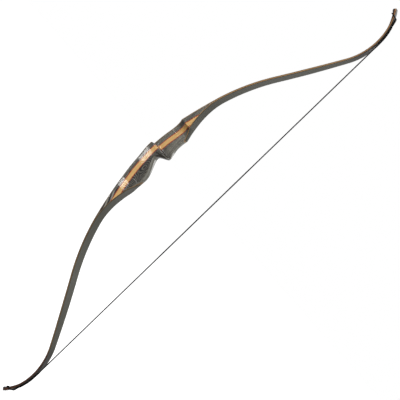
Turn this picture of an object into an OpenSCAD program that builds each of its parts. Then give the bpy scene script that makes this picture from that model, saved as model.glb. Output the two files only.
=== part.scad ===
// One-piece laminated recurve bow, right-handed, strung.
// The bow stands upright: +Z to the upper tip, +Y to the target, +X to the archer's right.
// The origin is the deepest point of the grip throat, which is also the bow's middle.
// The back of the bow is one smooth line of arcs. Every layer lies at its own depth below it.

/* [Back line, from the middle to a tip] */
// Depth of the riser at the grip throat
throat_depth = 40; // [34:0.5:46]
// Length of the back over the grip
grip_run = 100; // [90:1:110]
// How far the back turns towards the string over the grip, degrees
grip_turn = 12.5; // [10:0.1:14]
// Length of the back over the fade-out
fade_run = 132; // [120:1:145]
// Turn over the fade-out, degrees
fade_turn = 4.4; // [3.5:0.1:6]
// Length of the working part of the limb
working_run = 168; // [150:1:185]
// Turn over the working part, degrees
working_turn = 16; // [14:0.1:18]
// Length of the nearly straight part before the recurve
straight_run = 196; // [180:1:215]
// Turn back over that part, degrees
straight_turn = 2.6; // [1:0.1:4]
// Length of the recurve
recurve_run = 147; // [136:1:156]
// Turn back over the recurve, degrees
recurve_turn = 50.9; // [46:0.1:54]
// Length of the tip beyond the recurve
tip_run = 44; // [40:1:50]
// Turn back over the tip, degrees
tip_turn = 19.5; // [16:0.5:23]

/* [Laminations] */
// Thickness of each glass lamination
glass_t = 1; // [0.7:0.1:1.4]
// Thickness of each wood core at the fade-out
core_root_t = 1.7; // [1.3:0.1:2.2]
// Thickness of each wood core at the tip
core_tip_t = 1.4; // [1:0.1:1.8]
// Width of the limb at the fade-out
limb_root_w = 39; // [36:0.5:43]
// Width of the limb near the middle of its length
limb_mid_w = 36; // [32:0.5:40]
// Width of the limb at the string nocks
tip_w = 15; // [13:0.5:18]
// Thickness of the brown wedge on the back of each tip
tip_wedge_t = 1.2; // [0.8:0.1:2]
// Thickness of the black overlay on the wedge
tip_overlay_t = 1.4; // [1:0.1:2.5]
// Length of wedge and overlay
overlay_len = 58; // [50:1:70]

/* [Riser] */
// Width of the riser at the shelf and the sight window
riser_w = 40; // [38:0.5:46]
// Width of the grip at the throat
throat_w = 34; // [30:0.5:38]
// Width of the grip at the palm swell
palm_w = 38; // [34:0.5:42]
// Depth of the pale stripe below the back
stripe_depth = 14.5; // [12:0.5:17]
// Thickness of the pale stripe
stripe_t = 12; // [9:0.5:14]
// Thickness of the red veneer on each face of the stripe
veneer_t = 1.2; // [0.8:0.1:2]
// Distance from the throat down to the palm swell
palm_z = 62; // [56:1:68]
// How far the palm swell stands out towards the string
palm_out = 22.5; // [19:0.5:25]
// Height of the arrow shelf above the throat
shelf_z = 26; // [24:0.5:30]
// How far the web corner under the shelf stands out towards the string
web_out = 25.5; // [22:0.5:28]
// How far the sight window is cut past the bow's middle
window_past = 3; // [0:0.5:6]
// Height of the flat part of the window wall
window_h = 54; // [50:1:60]
// Radius of the scoop that ends the window at its top
window_top_r = 54; // [44:1:60]
// Depth of the belly at the middle of the window
scoop_out = 15.5; // [13:0.5:18]
// Height of the deepest place of that belly above the shelf
scoop_rise = 34; // [30:1:38]
// Height of the upper corner where the belly laminations end
upper_corner_z = 90; // [86:1:94]
// Distance down to the lower corner where they end
lower_corner_z = 82; // [78:1:86]
// How far the belly laminations would stand out at the ramp's foot
ramp_out = 21; // [19:0.5:23]
// Slope of the belly ramp at its foot, degrees
ramp_slope = 15; // [13:0.5:17]
// Rounding of the riser's back edges, front to back
back_edge_depth = 6; // [4:0.5:8]
// Rounding of the riser's back edges, across
back_edge_w = 11; // [7:0.5:13]
// Rounding of the grip's belly edges, front to back
grip_edge_depth = 24; // [20:0.5:28]
// Rounding of the grip's belly edges, across
grip_edge_w = 15; // [12:0.5:17]

/* [String] */
// Diameter of the bare string
string_d = 2.8; // [2:0.1:3.4]
// Diameter of each leg of the eye at its end
eye_d = 2.4; // [2:0.1:3]
// Thickness of the thread wound over it at the middle and the ends
serving_t = 0.3; // [0.2:0.05:0.5]
// Length of the centre serving on each side of the middle
serving_len = 165; // [120:5:200]
// Distance from the string nock to the end of the tip
nock_back = 21; // [18:0.5:24]
// Length of the rounded end of the tip
tip_round = 9.5; // [8:0.5:12]
// Length of the eye at each end of the string
eye_len = 26; // [22:1:32]

/* [Flex] */
// Distance along the back from the middle of the bow to the flexing place
flex_run = 372; // [350:1:390]
// Gap between the two halves of the flexing place
flex_gap = 0.3; // [0.2:0.05:0.5]
// Length of string left free on each side of the middle, inside the serving
nock_gap = 18; // [16:0.5:24]

/* [Hidden] */

dark_wood = [0.16, 0.15, 0.15];
maple = [0.84, 0.66, 0.4];
red_veneer = [0.72, 0.3, 0.16];
core_wood = [0.62, 0.4, 0.22];
grey_glass = [0.33, 0.33, 0.29];
tip_brown = [0.3, 0.17, 0.09];
tip_black = [0.07, 0.07, 0.07];
string_black = [0.05, 0.05, 0.06];

$fn = 48;
// Longest straight piece that stands in for a curve
chord = 10;
// A length past every surface, for cuts
past = 60;
// Least thickness of a feathered end
feather = 0.3;
// Clearance under what lies on the belly
seat_gap = 0.1;

// The back line: each run is a length and the turn over it, positive towards the string
runs = [
    [grip_run, grip_turn], [fade_run, fade_turn], [working_run, working_turn],
    [straight_run, -straight_turn], [recurve_run, -recurve_turn], [tip_run, -tip_turn]
];
fade_s = grip_run + fade_run;
recurve_s = fade_s + working_run + straight_run;
tip_s = recurve_s + recurve_run;
end_s = tip_s + tip_run;

// Place on the back after a distance along one run: distance, height, depth and slope
function run_start(i) = i == 0 ? [0, 0, throat_depth, 0] : run_place(i - 1, runs[i - 1][0]);
function run_place(i, along) =
    let (from = run_start(i), slope = from[3] + runs[i][1] * along / runs[i][0],
         bend_r = runs[i][0] * 180 / (runs[i][1] * PI))
    [from[0] + along, from[1] + bend_r * (sin(slope) - sin(from[3])),
     from[2] + bend_r * (cos(slope) - cos(from[3])), slope];
starts = [for (i = [0 : len(runs) - 1]) run_start(i)];
function back_place(s, i = 5) =
    s >= starts[i][0] || i == 0
    ? let (from = starts[i], slope = from[3] + runs[i][1] * (s - from[0]) / runs[i][0],
           bend_r = runs[i][0] * 180 / (runs[i][1] * PI))
      [from[1] + bend_r * (sin(slope) - sin(from[3])),
       from[2] + bend_r * (cos(slope) - cos(from[3])), slope]
    : back_place(s, i - 1);

// Point at a depth below the back, as [y, z]
function below_back(s, depth) =
    let (p = back_place(s)) [p[1] - depth * cos(p[2]), p[0] - depth * sin(p[2])];

// Even steps from a to b, both ends included
function steps(a, b, size = chord) =
    let (n = max(1, ceil((b - a) / size))) [for (k = [0 : n]) a + (b - a) * k / n];

// The back as a table against height, for the riser's layers
back_table = [for (s = steps(0, flex_run + 2 * chord, chord / 2)) back_place(s)];
back_y_table = [for (p = back_table) [p[0], p[1]]];
back_slope_table = [for (p = back_table) [p[0], p[2]]];
function back_y(z) = lookup(abs(z), back_y_table);
function back_slope(z) = lookup(abs(z), back_slope_table);
function layer_y(z, depth) = back_y(z) - depth / cos(back_slope(z));

// Core thickness tapers from the fade-out to the tip
function core_t(s) = lookup(s, [[fade_s, core_root_t], [end_s, core_tip_t]]);
function limb_t(s) = 2 * glass_t + 2 * core_t(s);
root_lam_t = glass_t + core_root_t;
root_t = 2 * root_lam_t;

// Ease from 0 to 1, flat at both ends
function ease(t) = let (u = max(0, min(1, t))) u * u * (3 - 2 * u);
// Cubic from y0 to y1 with the slopes m0 and m1
function cubic(t, y0, m0, y1, m1) =
    y0 * (2 * pow(t, 3) - 3 * t * t + 1) + m0 * (pow(t, 3) - 2 * t * t + t)
    + y1 * (3 * t * t - 2 * pow(t, 3)) + m1 * (pow(t, 3) - t * t);

// Outer line of the belly laminations: a ramp on the riser that runs into the limb's belly
ramp_foot_z = lower_corner_z;
fade_z = back_place(fade_s)[0] + chord;
fade_belly_y = layer_y(fade_z, root_t);
ramp_len = fade_z - ramp_foot_z;
function ramp_y(z) =
    abs(z) >= fade_z ? layer_y(z, root_t)
    : abs(z) < ramp_foot_z ? -ramp_out - (ramp_foot_z - abs(z)) * tan(ramp_slope)
    : cubic((abs(z) - ramp_foot_z) / ramp_len, -ramp_out, ramp_len * tan(ramp_slope),
            fade_belly_y, -ramp_len * tan(back_slope(fade_z)));

// Belly surface of the riser: palm swell, throat, web corner, scoop behind the window
throat_flat = 3;
// Power that makes the swell start slowly from the throat
palm_bend = 1.15;
web_lip = 3.5;
web_top_z = shelf_z + web_lip;
web_flat = 5.5;
web_z = web_top_z - web_flat;
scoop_z = shelf_z + scoop_rise;
function belly_y(z) =
    z <= -lower_corner_z || z >= upper_corner_z ? ramp_y(z)
    : z < -palm_z
    ? -palm_out + (palm_out + ramp_y(lower_corner_z)) * ease((-palm_z - z) / (lower_corner_z - palm_z))
    : z < -throat_flat
    ? -palm_out * sin(90 * pow((-throat_flat - z) / (palm_z - throat_flat), palm_bend))
    : z < throat_flat ? 0
    : z < web_z ? -web_out * ease((z - throat_flat) / (web_z - throat_flat))
    : z < web_top_z ? -web_out
    : z < scoop_z ? -scoop_out - (web_out - scoop_out) * pow((scoop_z - z) / (scoop_z - web_top_z), 2)
    : -scoop_out + (scoop_out + ramp_y(upper_corner_z))
      * pow((z - scoop_z) / (upper_corner_z - scoop_z), 2);

// Half width along the limb, and along the riser with its waist at the throat
mid_share = 0.45;
mid_s = fade_s + mid_share * (end_s - fade_s);
nock_s = end_s - nock_back;
mid_z = back_place(mid_s)[0];
limb_half_table = [
    [back_place(fade_s)[0], limb_root_w / 2], [mid_z, limb_mid_w / 2],
    [back_place(nock_s)[0], tip_w / 2]
];
function limb_half(z) = lookup(abs(z), limb_half_table);
half_knots = [
    [-fade_z, limb_half(fade_z)], [-2 * palm_z, riser_w / 2 - 1], [-palm_z, palm_w / 2],
    [0, throat_w / 2], [shelf_z, riser_w / 2], [1.3 * upper_corner_z, riser_w / 2],
    [fade_z, limb_half(fade_z)]
];
function eased(z, knots, i = 0) =
    z <= knots[i + 1][0] || i == len(knots) - 2
    ? let (a = knots[i], b = knots[i + 1]) a[1] + (b[1] - a[1]) * ease((z - a[0]) / (b[0] - a[0]))
    : eased(z, knots, i + 1);
function half_w(z) = abs(z) >= fade_z ? limb_half(z) : eased(z, half_knots);

// Edge rounding: its depth front to back and its width across, at the back and at the belly
limb_edge_r = 0.6;
window_edge_r = 2.5;
back_knots = [
    [-fade_z, 0], [-lower_corner_z, 1], [-palm_z / 2, 1], [shelf_z / 2, 0.25],
    [1.3 * upper_corner_z, 0.25], [fade_z, 0]
];
function back_round(z) =
    let (share = eased(z, back_knots))
    [limb_edge_r + (back_edge_depth - limb_edge_r) * share,
     limb_edge_r + (back_edge_w - limb_edge_r) * share];
belly_knots = [
    [-1.4 * lower_corner_z, 0], [-0.95 * lower_corner_z, 1], [throat_flat, 1], [shelf_z, 0.8],
    [1.75 * shelf_z, 0]
];
function grip_share(z) = eased(z, belly_knots);
function plain_round(z) =
    eased(z, [[-fade_z, limb_edge_r], [-lower_corner_z, window_edge_r],
              [upper_corner_z, window_edge_r], [fade_z, limb_edge_r]]);
function belly_round(z) =
    let (g = grip_share(z))
    [plain_round(z) + (grip_edge_depth - window_edge_r) * g,
     plain_round(z) + (grip_edge_w - window_edge_r) * g];

// Loss of half width where the surface is rounded, at a distance in from it
function rounded(in, depth, across) =
    in >= depth ? 0 : across * (1 - sqrt(max(0, 1 - pow((depth - in) / depth, 2))));
least_half = 1.5;
function half_at(y, z) =
    let (b = belly_round(z), r = back_round(z))
    max(least_half, half_w(z) - rounded(max(0, y - belly_y(z)), b[0], b[1])
        - rounded(max(0, back_y(z) - y), r[0], r[1]));

// Heights of the riser's sections, closer together where the belly turns fast
function riser_heights(from, to) =
    let (all = concat(
        steps(-flex_reach, -fade_z, 2 * chord), steps(-fade_z, -lower_corner_z),
        steps(-lower_corner_z, -throat_flat, 0.7 * chord), steps(-throat_flat, throat_flat),
        steps(throat_flat, web_top_z, 0.3 * chord), steps(web_top_z, upper_corner_z, 0.8 * chord),
        steps(upper_corner_z, fade_z), steps(fade_z, flex_reach, 2 * chord)))
    concat([from], [for (i = [1 : len(all) - 1])
        if (all[i] > from + 0.5 && all[i] < to - 0.5 && all[i] > all[i - 1] + 0.01) all[i]], [to]);
flex_reach = back_place(flex_run)[0] + chord;

// Height where a line at this depth below the back runs out at the belly laminations
function wood_belly_y(z) = max(belly_y(z), ramp_y(z) + lam_rise(z));
function lam_rise(z) = root_lam_t / cos(back_slope(z));
function run_out(depth, low, high, n = 22) =
    let (mid = (low + high) / 2)
    n == 0 ? low
    : layer_y(mid, depth) - wood_belly_y(mid) > feather ? run_out(depth, mid, high, n - 1)
    : run_out(depth, low, mid, n - 1);

// A layer of the riser, lofted through its sections between two depth lines
function section(z, y0, y1, levels) =
    concat([for (k = [0 : levels]) let (y = y0 + (y1 - y0) * k / levels) [half_at(y, z), y, z]],
           [for (k = [levels : -1 : 0]) let (y = y0 + (y1 - y0) * k / levels) [-half_at(y, z), y, z]]);
module loft(sections, closed = false) {
    n = len(sections[0]);
    count = len(sections);
    points = [for (s = sections) each s];
    sides = [for (i = [0 : closed ? count - 1 : count - 2]) for (k = [0 : n - 1])
        let (a = i * n + k, b = i * n + (k + 1) % n, c = (a + n) % (count * n), d = (b + n) % (count * n))
        each [[a, c, b], [b, c, d]]];
    last = (count - 1) * n;
    ends = closed ? [] : [for (k = [0 : n / 2 - 2]) each
        [[k, k + 1, n - 2 - k, n - 1 - k], [last + n - 1 - k, last + n - 2 - k, last + k + 1, last + k]]];
    polyhedron(points, concat(sides, ends));
}

// A wood layer of the riser between two depths below the back
module wood_layer(outer, inner, levels) {
    reach = run_out(outer, ramp_foot_z + chord, fade_z);
    loft([for (z = riser_heights(-reach, reach))
        section(z, max(layer_y(z, inner), wood_belly_y(z)), layer_y(z, outer), levels)]);
}

// A back lamination, one piece over the riser from one flexing place to the other
module back_layer(outer, inner) {
    loft([for (z = riser_heights(-flex_reach, flex_reach))
        section(z, layer_y(z, inner), layer_y(z, outer), 1)]);
}

// A belly lamination between two shares of the pair's thickness, from its corner to the flexing place
function lam_end(side, share) =
    let (corner = side > 0 ? upper_corner_z : lower_corner_z)
    [for (z = steps(corner - 3 * chord, corner, 0.5))
        if (ramp_y(z) + lam_rise(z) * share > belly_y(side * z) + feather) z][0];
module belly_layer(side, outer, inner) {
    low_end = lam_end(side, inner);
    heights = side > 0 ? riser_heights(low_end, flex_reach) : riser_heights(-flex_reach, -low_end);
    loft([for (z = heights)
        section(z, max(belly_y(z), ramp_y(z) + lam_rise(z) * outer), ramp_y(z) + lam_rise(z) * inner, 1)]);
}

// The sight window: the flat shelf, the wall beside it and the scoop at the top
module window_cut() {
    translate([window_past - past, -past, shelf_z]) cube([past, 3 * past, window_h]);
    intersection() {
        translate([window_past - window_top_r, 0, shelf_z + window_h])
            rotate([90, 0, 0]) cylinder(r = window_top_r, h = 6 * past, center = true);
        translate([-3 * past, -3 * past, shelf_z + window_h]) cube([6 * past, 6 * past, 2 * past]);
    }
}

// The flexing place: a round end on the limb in a round seat on the riser's laminations
flex_t = limb_t(flex_run);
flex_at = below_back(flex_run, flex_t / 2);
flex_slope = back_place(flex_run)[2];
knuckle_past = 0.25;
knuckle_r = flex_t / 2 + knuckle_past;
module at_flex() {
    translate([0, flex_at[0], flex_at[1]]) rotate([flex_slope, 0, 0]) children();
}
module limb_side(r) {
    at_flex() {
        translate([-past, -5 * past, 0]) cube([2 * past, 10 * past, 10 * past]);
        rotate([0, 90, 0]) cylinder(r = r, h = 2 * past, center = true);
    }
}
module riser_side() {
    difference() {
        children();
        limb_side(knuckle_r + flex_gap);
        mirror([0, 0, 1]) limb_side(knuckle_r + flex_gap);
    }
}
module shaped() {
    difference() {
        children();
        window_cut();
    }
}

// Front outline of the upper limb, cut round at the tip square to the limb there
nock_place = back_place(nock_s);
round_place = back_place(end_s - tip_round);
module limb_outline() {
    side = [for (z = [flex_at[1] - 2 * chord, mid_z, nock_place[0], end_s]) [limb_half(z), z]];
    left = [for (k = [len(side) - 1 : -1 : 0]) [-side[k][0], side[k][1]]];
    rotate([90, 0, 0]) linear_extrude(20 * past, center = true) polygon(concat(side, left));
}
module tip_outline() {
    translate([0, round_place[1], round_place[0]]) rotate([round_place[2] + 90, 0, 0])
        linear_extrude(20 * past, center = true) {
            translate([-past, -20 * past]) square([2 * past, 20 * past]);
            scale([1, 2 * tip_round / tip_w]) circle(d = tip_w);
        }
}

// Side grooves that hold the string's eye
eye_r = eye_d / 2;
groove_tilt = 40;
groove_slack = 0.6;
groove_in = 0.2;
groove_x = tip_w / 2 - groove_in;
nock_t = limb_t(nock_s);
tip_added = tip_wedge_t + tip_overlay_t;
module nock_grooves() {
    middle = below_back(nock_s, (nock_t - tip_added) / 2);
    for (side = [-1, 1]) translate([side * groove_x, middle[0], middle[1]])
        rotate([nock_place[2] - 90 + groove_tilt, 0, 0])
            cylinder(r = eye_r + groove_slack, h = past, center = true);
}

// Places along the tip, closer together, shared by the limb and what lies on its back
overlay_s = end_s - overlay_len;
tip_places = steps(overlay_s, end_s, chord / 2);

// A layer of the upper limb between two depths, given as shares of core and glass
function depth_at(s, glass, core) = glass * glass_t + core * core_t(s);
module limb_solid(outer_edge, inner_edge) {
    rotate([90, 0, 90]) linear_extrude(limb_root_w + chord, center = true)
        polygon(concat(outer_edge, [for (k = [len(inner_edge) - 1 : -1 : 0]) inner_edge[k]]));
}
module limb_layer(outer, inner) {
    places = concat([flex_run - chord], steps(flex_run, overlay_s), tip_places);
    difference() {
        intersection() {
            limb_solid([for (s = places) below_back(s, depth_at(s, outer[0], outer[1]))],
                       [for (s = places) below_back(s, depth_at(s, inner[0], inner[1]))]);
            limb_outline();
            tip_outline();
            limb_side(knuckle_r);
        }
        nock_grooves();
    }
}

// A layer on the back of the tip, thinned to a feather at its lower end
overlay_rise = 0.6;
module tip_layer(low, high) {
    function grown(s, t) = t * ease((s - overlay_s) / (overlay_rise * overlay_len));
    difference() {
        intersection() {
            limb_solid([for (s = tip_places) below_back(s, -grown(s, high))],
                       [for (s = tip_places) below_back(s, -grown(s, low))]);
            limb_outline();
            tip_outline();
        }
        nock_grooves();
    }
}

// The string: straight from the middle to where it meets the recurve, then along the belly
string_r = string_d / 2;
served_r = string_r + serving_t;
contact_s = recurve_s + recurve_run * starts[4][3] / recurve_turn;
contact = below_back(contact_s, limb_t(contact_s) + served_r + seat_gap);
string_y = contact[0];
eye_s = nock_s - eye_len;
body_gap = 0.15;
// The straight string swings up a little as it leaves the belly, so its end stops short
lift_gap = 0.6;

// Rings of a tube along a route, turned so that one side faces away from a centre
function unit(v) = v / norm(v);
function ring(p, dir, away, r, sides) =
    let (u = unit(away - (away * dir) * dir), v = cross(dir, u))
    [for (k = [0 : sides - 1]) p + r * (cos(360 * k / sides) * u + sin(360 * k / sides) * v)];

// The straight half of the string, its centre serving and the served end on the belly
module string_half() {
    translate([0, string_y, nock_gap]) cylinder(r = string_r, h = contact[1] - lift_gap - nock_gap);
}
module center_serving() {
    translate([0, string_y, body_gap]) difference() {
        cylinder(r = served_r, h = serving_len);
        translate([0, 0, -1]) cylinder(r = string_r, h = serving_len + 2);
    }
}
function on_belly(s, x, lift) =
    let (p = below_back(s, limb_t(s) + lift + seat_gap)) [x, p[0], p[1]];
module end_serving() {
    places = steps(contact_s, eye_s - eye_r - body_gap);
    loft([for (s = places) let (a = back_place(s)[2])
        ring(on_belly(s, 0, served_r), [0, -sin(a), cos(a)], [1, 0, 0], served_r, 8)]);
}

// The eye: a closed loop of string from the belly, through both grooves and over the back
eye_low = nock_t + eye_r + seat_gap;
eye_high = -tip_added - eye_r - seat_gap;
groove_rise = (eye_low - eye_high) * tan(groove_tilt);
eye_step = 2.5;
// Distance along the back in which the eye's closed end turns
eye_turn = 1.6;
eye_half = [
    // share of the way out to a groove, distance along the back, share of the depth to the belly
    [0, eye_s, 1], [0.3, eye_s + eye_turn, 1], [0.36, eye_s + eye_len / 4, 1.01],
    [0.72, nock_s - groove_rise / 2 - eye_step, 1.1],
    [1.02, nock_s - 0.28 * groove_rise, 0.78], [1.02, nock_s + 0.28 * groove_rise, 0.22],
    [0.66, nock_s + groove_rise / 2 + 0.6 * eye_step, -0.1],
    [0, nock_s + groove_rise / 2 + eye_step, -0.12]
];
eye_knots = concat(eye_half, [for (k = [len(eye_half) - 2 : -1 : 1])
    [-eye_half[k][0], eye_half[k][1], eye_half[k][2]]]);
function eye_point(q) =
    let (p = below_back(q[1], eye_high + (eye_low - eye_high) * q[2])) [groove_x * q[0], p[0], p[1]];
function smooth(knots, i, t) =
    let (n = len(knots), a = knots[(i + n - 1) % n], b = knots[i % n],
         c = knots[(i + 1) % n], d = knots[(i + 2) % n])
    0.5 * (2 * b + (c - a) * t + (2 * a - 5 * b + 4 * c - d) * t * t
           + (3 * b - a - 3 * c + d) * t * t * t);
module string_eye() {
    route = [for (i = [0 : len(eye_knots) - 1]) for (k = [0 : 2])
        eye_point(smooth(eye_knots, i, k / 3))];
    n = len(route);
    middle = on_belly(nock_s - eye_len / 3, 0, -limb_t(nock_s) / 2);
    loft([for (i = [0 : n - 1])
        let (dir = unit(route[(i + 1) % n] - route[(i + n - 1) % n]))
        ring(route[i], dir, route[i] - middle, eye_r, 6)], closed = true);
}

module lower() {
    mirror([0, 0, 1]) children();
}

// Depths of the limb's layers, each as [glass layers, core layers] above it
glass_top = [0, 0];
core_top = [1, 0];
middle_line = [1, 1];
core_bottom = [1, 2];
glass_bottom = [2, 2];

// Depths of the riser's wood layers
veneer_top = stripe_depth;
stripe_top = veneer_top + veneer_t;
stripe_bottom = stripe_top + stripe_t;
veneer_bottom = stripe_bottom + veneer_t;
belly_depth = 4 * throat_depth;
core_share = core_root_t / root_lam_t;

module riser_belly_block() {
    color(dark_wood) shaped() wood_layer(veneer_bottom, belly_depth, 6);
}
module riser_belly_veneer() {
    color(red_veneer) shaped() wood_layer(stripe_bottom, veneer_bottom, 1);
}
module riser_stripe() {
    color(maple) shaped() wood_layer(stripe_top, stripe_bottom, 4);
}
module riser_back_veneer() {
    color(red_veneer) shaped() wood_layer(veneer_top, stripe_top, 1);
}
module riser_back_block() {
    color(dark_wood) shaped() wood_layer(root_lam_t, veneer_top, 5);
}
module riser_back_core() {
    color(core_wood) riser_side() shaped() back_layer(glass_t, root_lam_t);
}
module riser_back_glass() {
    color(grey_glass) riser_side() shaped() back_layer(0, glass_t);
}
module upper_root_belly_core() {
    color(core_wood) riser_side() shaped() belly_layer(1, 1 - core_share, 1);
}
module upper_root_belly_glass() {
    color(grey_glass) riser_side() shaped() belly_layer(1, 0, 1 - core_share);
}
module lower_root_belly_core() {
    color(core_wood) riser_side() belly_layer(-1, 1 - core_share, 1);
}
module lower_root_belly_glass() {
    color(grey_glass) riser_side() belly_layer(-1, 0, 1 - core_share);
}
module upper_belly_glass() {
    color(grey_glass) limb_layer(core_bottom, glass_bottom);
}
module upper_belly_core() {
    color(core_wood) limb_layer(middle_line, core_bottom);
}
module upper_back_core() {
    color(core_wood) limb_layer(core_top, middle_line);
}
module upper_back_glass() {
    color(grey_glass) limb_layer(glass_top, core_top);
}
module upper_tip_wedge() {
    color(tip_brown) tip_layer(0, tip_wedge_t);
}
module upper_tip_overlay() {
    color(tip_black) tip_layer(tip_wedge_t, tip_added);
}
module upper_string() {
    color(string_black) string_half();
}
module upper_center_serving() {
    color(string_black) center_serving();
}
module upper_end_serving() {
    color(string_black) end_serving();
}
module upper_string_eye() {
    color(string_black) string_eye();
}
module lower_belly_glass() {
    lower() upper_belly_glass();
}
module lower_belly_core() {
    lower() upper_belly_core();
}
module lower_back_core() {
    lower() upper_back_core();
}
module lower_back_glass() {
    lower() upper_back_glass();
}
module lower_tip_wedge() {
    lower() upper_tip_wedge();
}
module lower_tip_overlay() {
    lower() upper_tip_overlay();
}
module lower_string() {
    lower() upper_string();
}
module lower_center_serving() {
    lower() upper_center_serving();
}
module lower_end_serving() {
    lower() upper_end_serving();
}
module lower_string_eye() {
    lower() upper_string_eye();
}

riser_belly_block();
riser_belly_veneer();
riser_stripe();
riser_back_veneer();
riser_back_block();
riser_back_core();
riser_back_glass();
upper_root_belly_core();
upper_root_belly_glass();
lower_root_belly_core();
lower_root_belly_glass();
upper_belly_glass();
upper_belly_core();
upper_back_core();
upper_back_glass();
upper_tip_wedge();
upper_tip_overlay();
lower_belly_glass();
lower_belly_core();
lower_back_core();
lower_back_glass();
lower_tip_wedge();
lower_tip_overlay();
upper_string();
upper_center_serving();
upper_end_serving();
upper_string_eye();
lower_string();
lower_center_serving();
lower_end_serving();
lower_string_eye();
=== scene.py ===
"""Looks of a laminated recurve bow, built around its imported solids.

Lengths are in millimetres until mesh_object turns them into metres. s is the distance along the bow's
back from its middle to a tip, depth the distance in from the back, and z the height in the frame.
"""

import math

import bmesh
import bpy
import numpy as np
from mathutils import Matrix, Vector


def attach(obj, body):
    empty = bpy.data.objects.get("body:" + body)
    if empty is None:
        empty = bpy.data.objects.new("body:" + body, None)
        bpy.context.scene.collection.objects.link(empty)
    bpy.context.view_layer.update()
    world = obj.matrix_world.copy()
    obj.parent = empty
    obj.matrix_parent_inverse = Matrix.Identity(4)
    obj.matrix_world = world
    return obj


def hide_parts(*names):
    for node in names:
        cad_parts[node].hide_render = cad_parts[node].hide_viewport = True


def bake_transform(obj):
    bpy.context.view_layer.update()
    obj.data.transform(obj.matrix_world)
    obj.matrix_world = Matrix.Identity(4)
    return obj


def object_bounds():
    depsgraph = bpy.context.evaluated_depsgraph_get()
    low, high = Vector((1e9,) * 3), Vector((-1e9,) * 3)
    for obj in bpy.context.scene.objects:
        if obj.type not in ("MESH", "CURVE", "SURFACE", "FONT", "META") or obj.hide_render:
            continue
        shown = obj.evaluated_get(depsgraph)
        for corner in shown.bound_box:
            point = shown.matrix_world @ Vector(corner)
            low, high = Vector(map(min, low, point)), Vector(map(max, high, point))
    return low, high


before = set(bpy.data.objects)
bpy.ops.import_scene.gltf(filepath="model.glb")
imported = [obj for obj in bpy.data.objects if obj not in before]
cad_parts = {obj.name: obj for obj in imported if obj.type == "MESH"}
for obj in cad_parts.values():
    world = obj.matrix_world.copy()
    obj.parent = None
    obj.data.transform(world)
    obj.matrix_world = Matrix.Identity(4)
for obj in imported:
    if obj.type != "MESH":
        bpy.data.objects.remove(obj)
cad_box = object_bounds()
scene = bpy.context.scene
scene.view_settings.view_transform = "Standard"
MM = 0.001

# Camera. Its direction was fitted to the bow's outline in the photo, its roll to the bow's slant there.
LOOK_TURN, LOOK_RISE = math.radians(22.63), math.radians(6.65)
SLANT_UP, SLANT_LEVEL = 0.7172, 0.6969
DISTANCE, LENS, SENSOR = 4.0, 135.8, 36
AIM_RIGHT, AIM_UP = 0.0424, -0.0453

toward = Vector((-math.cos(LOOK_TURN) * math.cos(LOOK_RISE),
                 -math.sin(LOOK_TURN) * math.cos(LOOK_RISE), math.sin(LOOK_RISE)))
middle = Vector((0, -0.105, 0.0126))
level = (-toward).cross(Vector((0, 0, 1))).normalized()
upright = level.cross(-toward)
image_right = SLANT_UP * upright + SLANT_LEVEL * level
image_up = SLANT_LEVEL * upright - SLANT_UP * level
eye = middle + DISTANCE * toward
aim = middle + AIM_RIGHT * image_right + AIM_UP * image_up
ahead = (aim - eye).normalized()
image_right = ahead.cross(image_up).normalized()
image_up = image_right.cross(ahead)
camera_data = bpy.data.cameras.new("camera")
camera_data.lens, camera_data.sensor_width = LENS, SENSOR
camera = bpy.data.objects.new("camera", camera_data)
scene.collection.objects.link(camera)
camera.matrix_world = Matrix([(image_right[k], image_up[k], -ahead[k], eye[k]) for k in range(3)]
                             + [(0, 0, 0, 1)])
scene.camera = camera

# The bow's lines. The back follows arcs of this length and turn in degrees, from the middle to a tip.
ARCS = [(100, 12.5), (132, 4.4), (168, 16), (196, -2.6), (147, -50.9), (44, -19.5)]
RECURVE_ARC = 4
THROAT_DEPTH = 40
END_S, FADE_S = 787.0, 232.0
TABLE_STEP = 0.1
ARC_ENDS = np.concatenate([[0], np.cumsum([arc[0] for arc in ARCS])])
TURNS = np.radians(np.concatenate([[0], np.cumsum([arc[1] for arc in ARCS])]))
TABLE_S = np.linspace(0, END_S, round(END_S / TABLE_STEP) + 1)
TABLE_A = np.interp(TABLE_S, ARC_ENDS, TURNS)
between = 0.5 * (TABLE_A[1:] + TABLE_A[:-1])
TABLE_Z = np.concatenate([[0], np.cumsum(np.cos(between) * TABLE_STEP)])
TABLE_Y = THROAT_DEPTH - np.concatenate([[0], np.cumsum(np.sin(between) * TABLE_STEP)])

# Thicknesses of the layers, and the nocks.
GLASS_T, CORE_ROOT, CORE_TIP = 1.0, 1.7, 1.4
PAIR_T = GLASS_T + CORE_ROOT
ROOT_T = 2 * PAIR_T
WEDGE_T, OVERLAY_T, OVERLAY_LEN = 1.2, 1.4, 58.0
TIP_HALF, NOCK_S = 7.5, END_S - 21
EYE_R = 1.5


def back(s):
    """Place (y, z) of the back at s, and its lean."""
    return tuple(float(np.interp(s, TABLE_S, table)) for table in (TABLE_Y, TABLE_Z, TABLE_A))


def below(s, depth):
    """Place (y, z) at a depth below the back, measured square to it."""
    y, z, a = back(s)
    return y - depth * math.cos(a), z - depth * math.sin(a)


def s_at(z):
    return float(np.interp(abs(z), TABLE_Z, TABLE_S))


def back_y(z):
    return float(np.interp(abs(z), TABLE_Z, TABLE_Y))


def slope(z):
    return float(np.interp(abs(z), TABLE_Z, TABLE_A))


def layer_y(z, depth):
    """y at a height of the layer that lies this deep below the back."""
    return back_y(z) - depth / math.cos(slope(z))


def core_t(s):
    return float(np.interp(s, [FADE_S, END_S], [CORE_ROOT, CORE_TIP]))


def limb_t(s):
    return 2 * GLASS_T + 2 * core_t(s)


def ease(t):
    """0 to 1 with level ends."""
    t = max(0.0, min(1.0, t))
    return t * t * (3 - 2 * t)


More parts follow.
